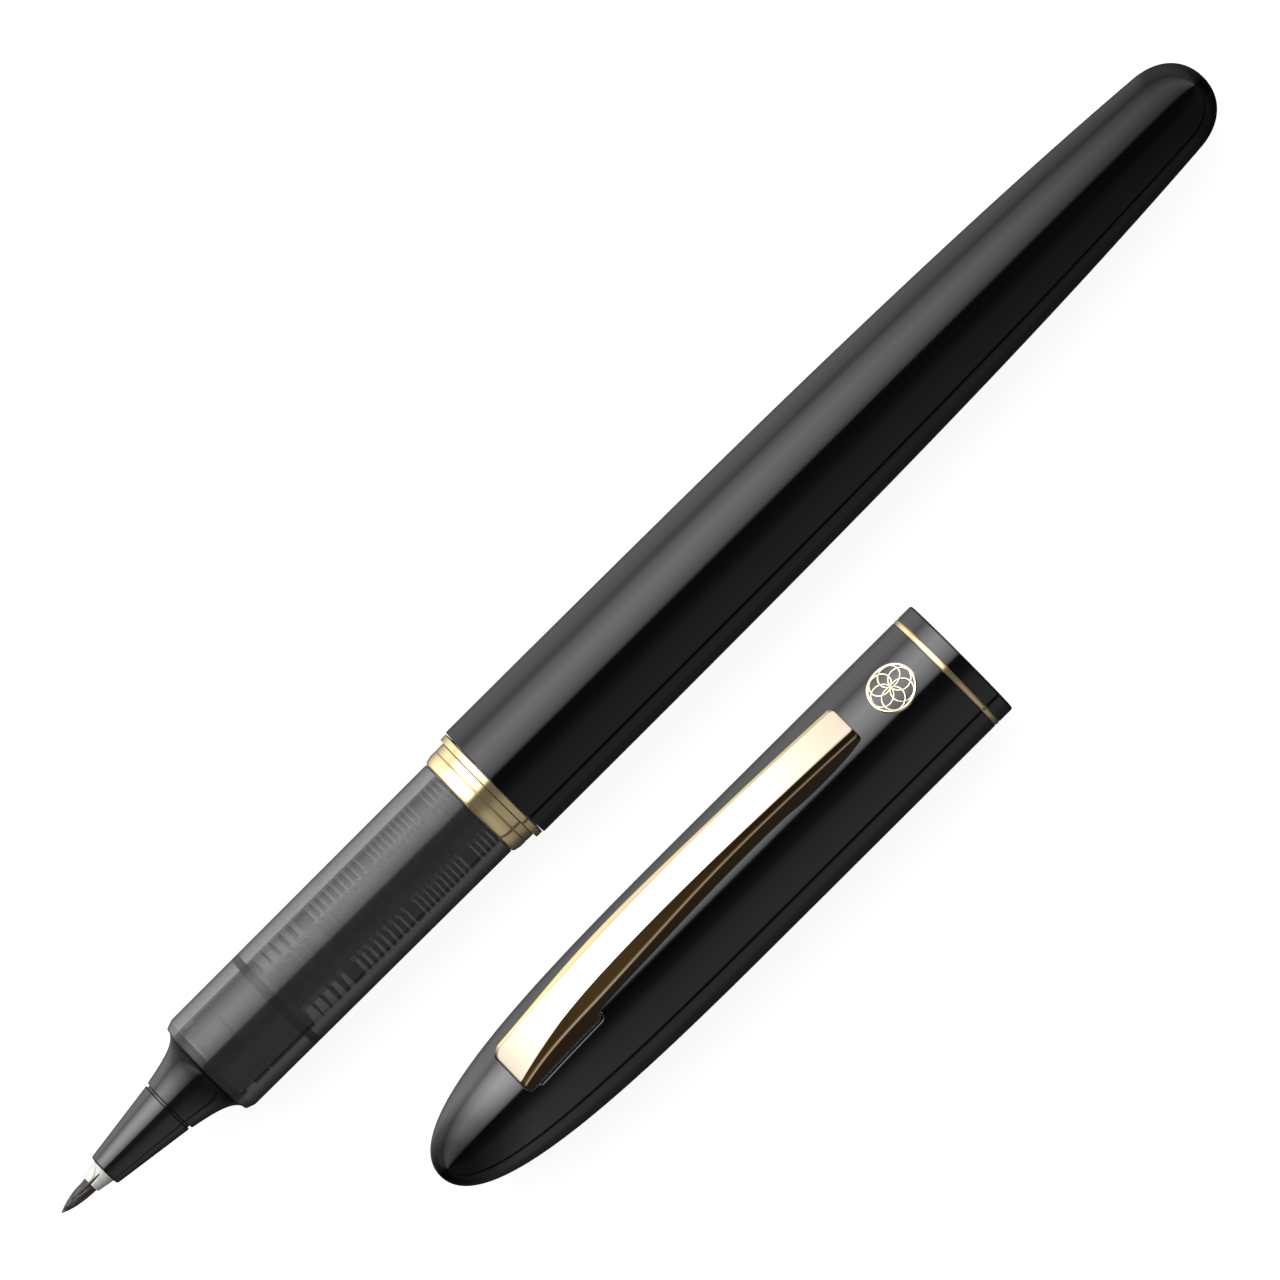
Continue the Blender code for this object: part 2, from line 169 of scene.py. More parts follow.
def add_node(tree, kind, settings=None, **sockets):
    """A node with its settings, and its sockets set or linked."""
    node = tree.nodes.new("ShaderNode" + kind)
    for setting, value in (settings or {}).items():
        setattr(node, setting, value)
    for socket, value in sockets.items():
        entry = node.inputs[socket.replace("_", " ")]
        if isinstance(value, bpy.types.NodeSocket):
            tree.links.new(value, entry)
        else:
            entry.default_value = value
    return node


def grain(tree, per_mm, detail=3.0, roughness=0.55, stretch=(1.0, 1.0, 1.0)):
    """Noise with this many waves to a millimetre along each axis: 0 to 1, about 0.5."""
    place = add_node(tree, "TexCoord").outputs["Object"]
    place = add_node(tree, "Mapping", Vector=place, Scale=[way / MM for way in stretch]).outputs["Vector"]
    noise = add_node(tree, "TexNoise", Vector=place, Scale=per_mm, Detail=detail, Roughness=roughness)
    return noise.outputs[0]


def between(tree, factor, low, high, start=0.0, stop=1.0):
    """The factor, read from start to stop, as a number from low to high."""
    sockets = {"From_Min": start, "From_Max": stop, "To_Min": low, "To_Max": high}
    return add_node(tree, "MapRange", Value=factor, **sockets).outputs["Result"]


def blended(tree, factor, first, second):
    """The colour between two colours at this factor."""
    mix = add_node(tree, "Mix", {"data_type": "RGBA"})
    for entry, value in ((mix.inputs[0], factor), (mix.inputs[6], first), (mix.inputs[7], second)):
        if isinstance(value, bpy.types.NodeSocket):
            tree.links.new(value, entry)
        else:
            entry.default_value = (*value, 1.0)
    return mix.outputs[2]


def raised(tree, shader, height, depth, strength=1.0):
    """Bump: the height, 0 to 1, as this many millimetres."""
    bump = add_node(tree, "Bump", Strength=strength, Distance=depth * MM, Height=height)
    tree.links.new(bump.outputs["Normal"], shader.inputs["Normal"])


def inked_fibre():
    material, tree, shader = finish("inked_fibre", Roughness=0.5, Specular_IOR_Level=0.6)
    streaks = grain(tree, 7.0, stretch=(0.12, 1.0, 1.0))
    worn = between(tree, streaks, 0.0, 1.0, 0.42, 0.66)
    colour = blended(tree, worn, (0.004, 0.0035, 0.0035), (0.15, 0.125, 0.115))
    tree.links.new(colour, shader.inputs["Base Color"])
    raised(tree, shader, streaks, 0.06)
    return material


def nib_grooves(station, reach, angle):
    """Fourteen grooves, each as deep as 6% of the radius, that wander a little round the point."""
    wander = 0.25 * np.sin(3 * angle + 1.1 * station)
    return -0.06 * reach * (0.5 + 0.5 * np.cos(14 * (angle + wander))) * (station < 4.5)


NIB_SEEN = 3.5
nib = np.vstack([curve((0, 0), (0.9, 0.45), (2.0, 0.66), (NIB_SEEN, 0.71), 48), [(15, 0.71), (15, 0)]])
fibre = inked_fibre()
add_piece("nib_point", skin(turned(nib, swell=nib_grooves)), PEN_AXIS, "front", "inked_fibre", fibre, "nib")


# Nib sleeve. A moulded off-white tube that grips the nib, slit along the top so that it can spring.
# Only its tapered mouth stands out of the cone. The slit along the top and a fine line beside it are painted
# black as painted shade.

CONE_FRONT = 5.1
SLIT_DEPTH, SLIT_LENGTH = 0.14, 1.1


def pale_plastic():
    """Ivory plastic, painted near black where the attribute ink is 1: painted shade in the sleeve's slit."""
    material, tree, shader = finish("pale_plastic", Roughness=0.32, Specular_IOR_Level=0.5)
    cloud = grain(tree, 0.8)
    ink = add_node(tree, "Attribute", {"attribute_name": "ink"}).outputs["Fac"]
    ivory = blended(tree, cloud, (0.76, 0.74, 0.68), (0.90, 0.89, 0.85))
    # Where ink is 1 the ivory gives way to near black: painted shade.
    tree.links.new(blended(tree, ink, ivory, (0.012, 0.010, 0.009)), shader.inputs["Base Color"])
    shader.inputs["Subsurface Weight"].default_value = 0.15
    shader.inputs["Subsurface Radius"].default_value = (0.0004, 0.0003, 0.0002)
    raised(tree, shader, grain(tree, 9.0), 0.006)
    return material


def sleeve_slit(station, reach, angle):
    """A slit along the top that narrows towards its rear end, and a finer line, 0.6 as deep, that
    starts with it at the mouth and curves down the dim side."""
    back = np.clip((station - NIB_SEEN) / SLIT_LENGTH, 0.0, 1.0)
    half_width = 0.13 - 0.09 * back
    slit = np.clip(1.6 - reach * np.abs(angle - np.radians(87.0)) / half_width, 0.0, 1.0) * (back < 1)
    bend = np.radians(88.0) - 0.9 * np.clip((station - NIB_SEEN) / (CONE_FRONT - NIB_SEEN), 0.0, 1.0) ** 1.5
    line = 0.6 * np.clip(1.5 - reach * np.abs(angle - bend) / 0.04, 0.0, 1.0)
    return -SLIT_DEPTH * np.maximum(slit, line) * (station < CONE_FRONT + 1) * (reach > 0.8)


holder = [(NIB_SEEN, 0.86), *[(NIB_SEEN + 1.6 * k / 12, 0.86 + 0.29 * k / 12) for k in range(1, 12)],
          (CONE_FRONT, 1.15), (15.9, 1.15), (15.9, 0.76), (NIB_SEEN, 0.76)]
pale = pale_plastic()
holder_skin = skin(turned(holder, sides=256, ease=0.05, swell=sleeve_slit))
nib_sleeve = shaped("nib_sleeve", holder_skin, PEN_AXIS)
station, y, z = holder_skin[0].T
# The attribute ink is 1 in the slit and along the fine line, and marks where the painted shade goes.
slit_shade = nib_sleeve.data.attributes.new("ink", "FLOAT", "POINT")
slit_shade.data.foreach_set("value", -sleeve_slit(station, 1.0, np.arctan2(z, y)) / SLIT_DEPTH)
settle(nib_sleeve, "front", "pale_plastic", pale, "nib_holder")


# Tip cone. Glossy black moulding that holds the sleeve. Its spigot goes into the nose piece behind,
# and a fine groove is left between the two.

CONE_REAR = 12.5


def black_gloss():
    material, tree, shader = finish("black_gloss", IOR=1.65)
    flow = grain(tree, 0.35, stretch=(0.5, 1.0, 1.0))
    black = blended(tree, flow, (0.0045, 0.0048, 0.0055), (0.0075, 0.0078, 0.0085))
    tree.links.new(black, shader.inputs["Base Color"])
    tree.links.new(between(tree, grain(tree, 2.5), 0.07, 0.15), shader.inputs["Roughness"])
    raised(tree, shader, grain(tree, 1.3, detail=2.0), 0.0016)
    return material


cone = [(CONE_FRONT, 1.45), (CONE_FRONT + 0.12, 1.55), (CONE_REAR, 2.54), (CONE_REAR, 2.36), (12.78, 2.36),
        (12.78, 1.95), (16, 1.95), (16, 1.2), (CONE_FRONT, 1.2)]
gloss = black_gloss()
add_piece("tip_cone_skin", skin(turned(cone, ease=0.07)), PEN_AXIS, "front", "black_gloss", gloss, "tip_cone")


# Nose piece. The same glossy black plastic, flared like a trumpet to meet the grip. Its grooved plug
# is pressed into the grip and shows through it.

GRIP_FRONT = 17.1
GRIP_BORE = 3.9
flare = curve((12.8, 2.63), (15.1, 3.08), (16.6, 3.42), (GRIP_FRONT - 0.03, 4.36), 40)
plug_r = GRIP_BORE - 0.05
plug = [(GRIP_FRONT - 0.03, plug_r), (18.2, plug_r), (18.3, 3.5), (19.2, 3.5), (19.3, plug_r),
        (20.9, plug_r), (20.9, 1.25)]
housing = np.vstack([flare, [*plug, (16.1, 1.25), (16.1, 2.0), (12.8, 2.0)]])
add_piece("nose_piece", skin(turned(housing, ease=0.06)), PEN_AXIS, "front", "black_gloss", gloss,
          "front_housing")


# Ink comb. A dark moulding of thin fins either side of a solid web. The gaps between the fins hold
# spare ink, and they grow finer towards the cartridge. A pale wick lies along each side of the web.

COMB_R, WEB_HALF = 3.84, 1.75
COMB_FRONT, COMB_REAR = 25.85, 51.0
SEAL_FRONT, SEAL_REAR = 24.9, 25.75


def comb_plastic():
    material, tree, shader = finish("comb_plastic", IOR=1.6)
    tree.links.new(blended(tree, grain(tree, 0.6), (0.020, 0.020, 0.022), (0.034, 0.033, 0.036)),
                   shader.inputs["Base Color"])
    tree.links.new(between(tree, grain(tree, 3.0), 0.24, 0.42), shader.inputs["Roughness"])
    raised(tree, shader, grain(tree, 5.0), 0.004)
    return material


def slot_edges():
    """(front, rear) of every gap: four groups, each evenly spaced, their widths shrinking evenly."""
    groups = ((26.2, 31.0, 5, 1.0, 0.6), (32.17, 38.33, 9, 0.5, 0.33),
              (39.17, 44.6, 10, 0.3, 0.3), (45.67, 50.0, 8, 0.3, 0.3))
    fronts, widths = [], []
    for front, rear, count, first, last in groups:
        fronts.append(np.linspace(front, rear - last, count))
        widths.append(np.linspace(first, last, count))
    return np.concatenate(fronts), np.concatenate(fronts) + np.concatenate(widths)


def web_bar(front, rear):
    """The web: |y| up to its half width, z out to a circle just inside the fins', carried along X."""
    y = WEB_HALF * np.concatenate([np.linspace(-1, 1, 25), np.linspace(1, -1, 25)])
    z = np.sqrt((COMB_R - 0.02) ** 2 - y ** 2) * np.repeat([1.0, -1.0], 25)
    ends = [np.stack([np.full(50, x), y, z], -1) for x in (front, rear)]
    middle = [np.stack([np.full(50, x), 0 * y, z], -1) for x in (front, rear)]
    return np.stack([middle[0], ends[0], ends[1], middle[1]]), False, True


def wick_strip(side):
    """A strip 0.45 mm thick along one side of the web, reaching 3 mm above and below the axis."""
    y = side * (WEB_HALF + np.array([0.0, 0.45, 0.45, 0.0]))
    z = np.array([3.0, 3.0, -3.0, -3.0])
    front, rear = (np.full(4, x) for x in (COMB_FRONT, COMB_REAR - 1.0))
    rings = [(front, y.mean() + 0 * z, 0 * z), (front, y, z), (rear, y, z), (rear, y.mean() + 0 * z, 0 * z)]
    return np.stack([np.stack(ring, -1) for ring in rings]), False, True


slot_fronts, slot_rears = slot_edges()
fin_fronts = np.concatenate([[COMB_FRONT], slot_rears])
fin_rears = np.concatenate([slot_fronts, [COMB_REAR]])
fins = [turned([(front, 0.75), (front, COMB_R), (rear, COMB_R), (rear, 0.75)], sides=128, ease=0.04)
        for front, rear in zip(fin_fronts, fin_rears)]
sleeve = turned([(21.1, 0.75), (21.1, COMB_R), (24.85, COMB_R), (24.85, 3.2), (COMB_FRONT - 0.05, 3.2),
                 (COMB_FRONT - 0.05, 0.75)], sides=128, ease=0.05)
add_piece("ink_comb", skin(sleeve, web_bar(COMB_FRONT, COMB_REAR), *fins), PEN_AXIS, "front", "comb_plastic",
          comb_plastic(), "collector")
add_piece("comb_wicks", skin(wick_strip(-1), wick_strip(1)), PEN_AXIS, "front", "pale_plastic", pale)


# Comb seal. A black rubber ring in a groove of the comb, squeezed against the grip's bore.

def seal_rubber():
    material, tree, shader = finish("seal_rubber", Specular_IOR_Level=0.4)
    tree.links.new(blended(tree, grain(tree, 2.0), (0.008, 0.008, 0.008), (0.016, 0.016, 0.016)),
                   shader.inputs["Base Color"])
    tree.links.new(between(tree, grain(tree, 6.0), 0.45, 0.65), shader.inputs["Roughness"])
    raised(tree, shader, grain(tree, 8.0), 0.008)
    return material


squeezed_r = GRIP_BORE + 0.02
seal = [(SEAL_FRONT, 3.25), (SEAL_FRONT, squeezed_r), (SEAL_REAR, squeezed_r), (SEAL_REAR, 3.25)]
add_piece("comb_seal", skin(turned(seal, ease=0.12)), PEN_AXIS, "front", "seal_rubber", seal_rubber(),
          "collector_seal")


# Ink core and cartridge nipple. A fibre rod runs from the nib through the comb into the nipple,
# an off-white moulding at the comb's end that the cartridge is pushed onto.

CORE_R, NIPPLE_R = 0.70, 1.50
core = [(15.1, 0), (15.1, CORE_R), (60.3, CORE_R), (60.3, 0)]
nipple = [(51.1, 3.6), (51.9, 3.6), (51.9, NIPPLE_R), (60, NIPPLE_R), (60.5, 1.2), (60.5, 0.75), (51.1, 0.75)]
add_piece("ink_core", skin(turned(core, sides=48)), PEN_AXIS, "front", "inked_fibre", fibre, "feed_core")
add_piece("cartridge_nipple", skin(turned(nipple, sides=96)), PEN_AXIS, "front", "pale_plastic", pale,
          "feed_nipple")


# Grip. A clear, smoke-grey moulded sleeve, polished inside and out, its wall a little over a
# millimetre thick. The barrel screws onto the three-start thread on its tail.

GRIP_REAR, GRIP_R = 47.95, 5.0
SPIGOT_R, THREAD_R = 4.52, 4.22
THREAD_FRONT, THREAD_REAR, THREAD_PITCH, THREAD_DEPTH = 51.6, 57.0, 1.6, 0.26


def smoke_clear():
    """Tinted clear plastic that also darkens with depth, so that light caught in the wall dies out."""
    material, tree, shader = finish("smoke_clear", Base_Color=(0.70, 0.70, 0.73, 1), IOR=1.49,
                                    Transmission_Weight=0.967)
    tree.links.new(between(tree, grain(tree, 1.5), 0.0, 0.02), shader.inputs["Roughness"])
    raised(tree, shader, grain(tree, 0.5, detail=1.0), 0.0006)
    smoke = add_node(tree, "VolumeAbsorption", Color=(0.10, 0.10, 0.12, 1.0), Density=130.0)
    tree.links.new(smoke.outputs["Volume"], tree.nodes["Material Output"].inputs["Volume"])
    return material


def thread_ridges(station, reach, angle):
    """Right-hand ridges on the tail's outside only, in three starts, that fade in over 0.8 mm."""
    lead = station / THREAD_PITCH - 3 * angle / (2 * np.pi)
    fade = np.clip(np.minimum(station - THREAD_FRONT, THREAD_REAR - station) / 0.8, 0.0, 1.0)
    return THREAD_DEPTH * fade * np.maximum(0.0, np.cos(2 * np.pi * lead)) * (reach > GRIP_BORE + 0.1)


threads = [(station, THREAD_R) for station in np.linspace(THREAD_FRONT, THREAD_REAR, 61)]
grip = [(GRIP_FRONT, 4.67), (17.9, 4.96), (GRIP_REAR, GRIP_R + 0.05), (GRIP_REAR, SPIGOT_R),
        (THREAD_FRONT - 0.4, SPIGOT_R), *threads, (57.3, THREAD_R - 0.2), (57.3, GRIP_BORE),
        (GRIP_FRONT, GRIP_BORE)]
add_piece("grip_sleeve", skin(turned(grip, ease=0.1, swell=thread_ridges)), PEN_AXIS, "front", "smoke_clear",
          smoke_clear(), "grip")


# Gold collar. Turned brass, polished and gold plated, pushed onto the grip's tail. It swells from the
# grip's size and has one fine groove.

COLLAR_R, RING_BORE = 5.33, 4.6


def gold_plate(name, turning, colour=(0.86, 0.66, 0.34), metallic=1.0):
    """Polished gold. turning is the number of fine lines to a millimetre along each axis."""
    material, tree, shader = finish(name, Metallic=metallic)
    pale_gold = tuple(min(1.0, 1.06 * part + 0.02) for part in colour)
    tree.links.new(blended(tree, grain(tree, 0.7), colour, pale_gold), shader.inputs["Base Color"])
    lines = grain(tree, 1.0, stretch=turning)
    tree.links.new(between(tree, lines, 0.07, 0.15), shader.inputs["Roughness"])
    raised(tree, shader, lines, 0.0008)
    return material


collar = [(48.0, GRIP_R + 0.06), (48.14, GRIP_R + 0.2), (48.7, COLLAR_R), (49.3, COLLAR_R),
          (49.38, COLLAR_R - 0.06), (49.46, COLLAR_R), (50.2, COLLAR_R), (50.2, RING_BORE), (48.0, RING_BORE)]
turned_gold = gold_plate("gold_turned", (14.0, 0.3, 0.3), (0.95, 0.76, 0.41), 0.85)
add_piece("gold_collar", skin(turned(collar, ease=0.05)), PEN_AXIS, "front", "gold_plate", turned_gold,
          "collar")


# Gold mouth ring. A loose plated ring, a little larger than the collar, that the barrel clamps
# against it. The cap stops on its front face.

BARREL_MOUTH = 51.0
ring_front, ring_rear, shoulder_r = BARREL_MOUTH - 0.75, BARREL_MOUTH - 0.11, COLLAR_R + 0.05
mouth_ring = [(ring_front, shoulder_r), (ring_front, 5.71), (ring_rear, 5.71), (ring_rear, RING_BORE),
              (ring_front + 0.05, RING_BORE), (ring_front + 0.05, shoulder_r)]
add_piece("gold_mouth_ring", skin(turned(mouth_ring, ease=0.07)), PEN_AXIS, "mouth_ring", "gold_plate",
          turned_gold, "mouth_ring")


# Barrel. A thin tube closed at its end, tapered and domed, sprayed with deep black lacquer and
# polished. The lacquer carries a few specks of dust.

BARREL_R, BUSH_R = 5.82, 5.12
BARREL_AXIS = PEN_AXIS + [BARREL_MOUTH * MM, 0.0, 0.0]


def black_lacquer(name, gloss_index):
    """Deep black under a polished coat. Specks lie in some cells of a 4 mm lattice."""
    material, tree, shader = finish(name, IOR=gloss_index)
    place = add_node(tree, "TexCoord").outputs["Object"]
    cells = add_node(tree, "TexVoronoi", Vector=place, Scale=0.25 / MM)
    chosen = add_node(tree, "SeparateColor", Color=cells.outputs["Color"]).outputs["Red"]
    near = between(tree, cells.outputs["Distance"], 1.0, 0.0, 0.008, 0.016)
    speck = add_node(tree, "Math", {"operation": "MULTIPLY"}).inputs
    tree.links.new(near, speck[0])
    tree.links.new(between(tree, chosen, 0.0, 1.0, 0.72, 0.74), speck[1])
    black = blended(tree, grain(tree, 0.15), (0.0018, 0.0017, 0.0026), (0.0032, 0.0031, 0.0044))
    dusty = blended(tree, speck[0].node.outputs[0], black, (0.22, 0.22, 0.23))
    tree.links.new(dusty, shader.inputs["Base Color"])
    tree.links.new(between(tree, grain(tree, 1.2), 0.045, 0.10), shader.inputs["Roughness"])
    raised(tree, shader, grain(tree, 0.9, detail=1.0), 0.0009)
    return material


outside = curve((0, BARREL_R), (28.75, BARREL_R), (56.25, 5.79), (79.1, 4.03), 72)
dome = curve((79.1, 4.03), (81.7, 3.80), (83.3, 2.25), (83.3, 0), 48)
inside = curve((8.2, 4.98), (30.0, 4.98), (55.0, 4.95), (76.5, 3.2), 24)
bore_end = curve((76.5, 3.2), (78.6, 3.0), (80.5, 1.7), (80.5, 0), 16)
mouth = [(8.2, BUSH_R + 0.05), (0, BUSH_R + 0.05)]
barrel = np.vstack([outside, dome[1:], bore_end[::-1], inside[-2::-1], mouth])
barrel_lacquer = black_lacquer("black_lacquer", 1.5)
add_piece("barrel_shell", skin(turned(barrel, sides=256, ease=0.1)), BARREL_AXIS, "barrel", "black_lacquer",
          barrel_lacquer, "barrel")


# Barrel bush. Machined brass, glued in the barrel's mouth. It has the thread for the grip's tail.

def machined_brass():
    material, tree, shader = finish("machined_brass", Metallic=1.0)
    tarnish = blended(tree, grain(tree, 1.0), (0.62, 0.44, 0.20), (0.78, 0.60, 0.32))
    tree.links.new(tarnish, shader.inputs["Base Color"])
    lines = grain(tree, 1.0, stretch=(18.0, 0.4, 0.4))
    tree.links.new(between(tree, lines, 0.20, 0.38), shader.inputs["Roughness"])
    raised(tree, shader, lines, 0.004)
    return material


bush = [(0.05, RING_BORE), (0.05, BUSH_R), (7.8, BUSH_R), (7.8, RING_BORE)]
add_piece("barrel_bush", skin(turned(bush)), BARREL_AXIS, "barrel", "brass", machined_brass(),
          "barrel_insert")


# Ink cartridge. A blown tube of cloudy clear plastic full of black ink, pushed onto the nipple. The
# steel ball that sealed its neck now rolls inside it and stirs the ink.

CARTRIDGE_AXIS = PEN_AXIS + [57.6 * MM, 0.0, 0.0]
CARTRIDGE_R, CARTRIDGE_BORE, BALL_R = 4.0, 3.3, 1.5
INK_LEVEL = 5.82 + 1.4


def inky_plastic():
    material, tree, shader = finish("cartridge_plastic", IOR=1.5, Coat_Weight=0.4)
    place = add_node(tree, "TexCoord").outputs["Object"]
    height = add_node(tree, "SeparateXYZ", Vector=place).outputs["Z"]
    level = between(tree, height, 1.0, 0.0, (INK_LEVEL - 0.2) * MM, (INK_LEVEL + 0.2) * MM)
    clear = blended(tree, grain(tree, 0.5), (0.42, 0.43, 0.45), (0.55, 0.56, 0.58))
    tree.links.new(blended(tree, level, clear, (0.012, 0.012, 0.014)), shader.inputs["Base Color"])
    tree.links.new(between(tree, grain(tree, 2.0), 0.12, 0.24), shader.inputs["Roughness"])
    raised(tree, shader, grain(tree, 1.0), 0.003)
    return material


def bright_steel():
    material, tree, shader = finish("bright_steel", Metallic=1.0)
    grey = blended(tree, grain(tree, 1.5), (0.56, 0.57, 0.59), (0.70, 0.71, 0.73))
    tree.links.new(grey, shader.inputs["Base Color"])
    tree.links.new(between(tree, grain(tree, 4.0), 0.12, 0.28), shader.inputs["Roughness"])
    raised(tree, shader, grain(tree, 6.0), 0.002)
    return material


cartridge = [(0, 2.5), (3.2, 2.6), (3.6, CARTRIDGE_R), (43.8, CARTRIDGE_R), (44.4, 3.4), (44.4, 0), (43.5, 0),
             (43.5, CARTRIDGE_BORE), (4.2, CARTRIDGE_BORE), (3.4, NIPPLE_R + 0.05), (0, NIPPLE_R + 0.05)]
add_piece("ink_cartridge", skin(turned(cartridge, sides=128, ease=0.25)), CARTRIDGE_AXIS, "cartridge",
          "cartridge_plastic", inky_plastic(), "cartridge")
turn = np.linspace(0.0, np.pi, 49)
ball = np.stack([-BALL_R * np.cos(turn), BALL_R * np.abs(np.sin(turn))], -1)
ball[[0, -1], 1] = 0.0
ball_box = np.array([list(corner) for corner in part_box("seal_ball")])
steel = bright_steel()
add_piece("ink_ball", skin(turned(ball, sides=96, ease=0.0)), ball_box.mean(0), "seal_ball", "steel", steel,
          "seal_ball")


# Cap shell. Lacquered like the barrel, with a long rounded nose and a slot behind it for the clip. A
# fine raised lip runs along the slot's dim side.

CAP_AXIS = np.array([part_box("cap_shell")[0][0],
                     *[sum(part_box("cap_shell")[k][i] for k in (0, 1)) / 2 for i in (1, 2)]])
CAP_R, CAP_LENGTH, LIP_BORE, CAP_SPIGOT_R, RING_STATION = 6.02, 61.33, 5.45, 5.74, 59.53
CLIP_ROLL = -math.radians(24.5)
CLIP_START, CLIP_LENGTH = 10.4, 40.2
SLOT_FRONT, SLOT_LENGTH, SLOT_HALF, SLOT_CORNER = CLIP_START - 0.1, 8.9, 2.5, 0.6
cap_nose = curve((0, 0), (0, 5.67), (16.1, CAP_R), (34.4, CAP_R), 110)
cap_tail = [(59.26, CAP_R), (59.26, CAP_SPIGOT_R), (60.6, CAP_SPIGOT_R), (60.6, LIP_BORE), (58.3, LIP_BORE),
            (57.9, 5.20)]
cap_hollow = curve((1.6, 0), (1.6, 4.65), (16.1, 5.15), (30.0, 5.20), 40)
cap_waist = [(station, CAP_R) for station in (38, 42, 46, 50, 54, 57)]


def slot_outline(steps=12):
    """The slot seen from above: a rectangle with round corners, as (along, across)."""
    corner = SLOT_CORNER
    turn = np.linspace(0, np.pi / 2, steps + 1)
    quarters = []
    for quarter, (far, right) in enumerate(((1, 1), (0, 1), (0, 0), (1, 0))):
        along = SLOT_FRONT + (SLOT_LENGTH - corner if far else corner)
        across = (SLOT_HALF - corner) * (1 if right else -1)
        angle = turn + quarter * np.pi / 2
        quarters.append(np.stack([along + corner * np.cos(angle), across + corner * np.sin(angle)], -1))
    return np.vstack(quarters)


def prism(outline, low, high):
    """The outline at two heights with flat ends, each closed to its own middle."""
    middle = np.broadcast_to(outline.mean(0), outline.shape)
    rings = [(middle, low), (outline, low), (outline, high), (middle, high)]
    rings = [np.column_stack([ring, np.full(len(ring), height)]) for ring, height in rings]
    return np.stack(rings), False, True


def cut_away(piece, surface, axis, roll):
    """Takes a welded closed surface out of a piece's mesh."""
    cutter = shaped("cutter", surface, axis, roll)
    boolean = piece.modifiers.new("opening", "BOOLEAN")
    boolean.object, boolean.operation = cutter, "DIFFERENCE"
    bpy.context.view_layer.update()
    cut = bpy.data.meshes.new_from_object(piece.evaluated_get(bpy.context.evaluated_depsgraph_get()))
    piece.modifiers.remove(boolean)
    cut.set_sharp_from_angle(angle=math.radians(40))
    piece.data = cut
    bpy.data.objects.remove(cutter, do_unlink=True)


def slot_edge(line):
    """A fine raised lip beside the slot: a low section of (outward, above the shell), sloped towards
    the slot, carried along an open line and shrunk to a point at both ends."""
    section = np.array([(0.17, -0.03), (0.15, 0.04), (0.12, 0.065), (-0.01, -0.01), (-0.01, -0.08),
                        (0.17, -0.08)])
    way = np.gradient(line, axis=0)
    way = way / np.linalg.norm(way, axis=1, keepdims=True)
    outward = np.stack([way[:, 1], -way[:, 0]], -1)
    share = np.linspace(0.0, 1.0, len(line))
    size = np.sqrt(np.clip(np.minimum(share, 1 - share) * 30, 0.0, 1.0))[:, None, None]
    flat = line[:, None] + outward[:, None] * (size * section[:, :1])
    shell_r = np.interp(flat[..., 0], cap_nose[:, 0], cap_nose[:, 1])
    height = np.sqrt(shell_r ** 2 - flat[..., 1] ** 2) + (size * section[:, 1:])[..., 0]
    return np.concatenate([flat, height[..., None]], -1), False, True


cap_profile = np.vstack([cap_nose, cap_waist, cap_tail, cap_hollow[::-1]])
# The cap's copy of the lacquer reflects more strongly, index 1.7 against the barrel's 1.5. It stands in for the
# stronger light on the cap: a painted highlight.
cap_lacquer = black_lacquer("black_lacquer_cap", 1.7)
shell = shaped("cap_tube", skin(turned(cap_profile, sides=256, ease=0.05)), CAP_AXIS)
cut_away(shell, skin(prism(slot_outline(), 3.75, 7.5)), CAP_AXIS, CLIP_ROLL)
settle(shell, "cap", "black_lacquer", cap_lacquer, "cap_shell")
dim_side, slot_rear, lip_start = -SLOT_HALF - 0.1, SLOT_FRONT + SLOT_LENGTH, CLIP_START + 1.05
lip_front = curve((lip_start, dim_side + 0.22), (lip_start + 0.1, dim_side), (lip_start + 0.25, dim_side),
                  (lip_start + 0.55, dim_side), 10)
lip_side = curve(lip_front[-1], (14, dim_side), (16, dim_side), (slot_rear - 0.6, dim_side), 60)
lip_rear = curve((slot_rear - 0.6, dim_side), (slot_rear, dim_side), (slot_rear + 0.02, dim_side + 0.2),
                 (slot_rear + 0.02, dim_side + 0.6), 16)
lip = np.vstack([lip_front, lip_side[1:], lip_rear[1:]])
add_piece("cap_slot_edge", skin(slot_edge(lip)), CAP_AXIS, "cap", "black_lacquer", cap_lacquer,
          roll=CLIP_ROLL)


# Liner and clip anchor. The off-white liner closes round the nib so that it can't dry. The steel
# anchor plate inside the nose holds the clip's root down.

liner = [(7.8, 0), (7.8, 3.2), (8.3, 3.5), (22.4, 3.5), (22.4, 4.95), (23.6, 4.95), (23.6, 3.5), (25.8, 3.5),
         (25.8, 3.05), (8.8, 3.05), (8.8, 0)]
add_piece("cap_liner", skin(turned(liner)), CAP_AXIS, "cap", "pale_plastic", pale, "inner_cap")


def plate(front, rear, half_width, low, high, corner=0.1):
    """A flat bar along X: its round-cornered section at both ends, each end closed to its middle."""
    corners = [(-half_width, low), (half_width, low), (half_width, high), (-half_width, high)]
    section = eased(np.array(corners), corner)
    middle = np.broadcast_to(section.mean(0), section.shape)
    rings = [(front, middle), (front, section), (rear, section), (rear, middle)]
    rings = [np.column_stack([np.full(len(ring), x), ring]) for x, ring in rings]
    return np.stack(rings), False, True


anchor = plate(CLIP_START + 1.0, CLIP_START + 11.4, 1.35, 3.75, 4.35)
add_piece("clip_anchor_plate", skin(anchor), CAP_AXIS, "cap", "steel", steel, "clip_anchor", roll=CLIP_ROLL)


# Cap rings. A thin plated ring sits in a groove near the lip, and a lacquered band outside it ends
# the cap.

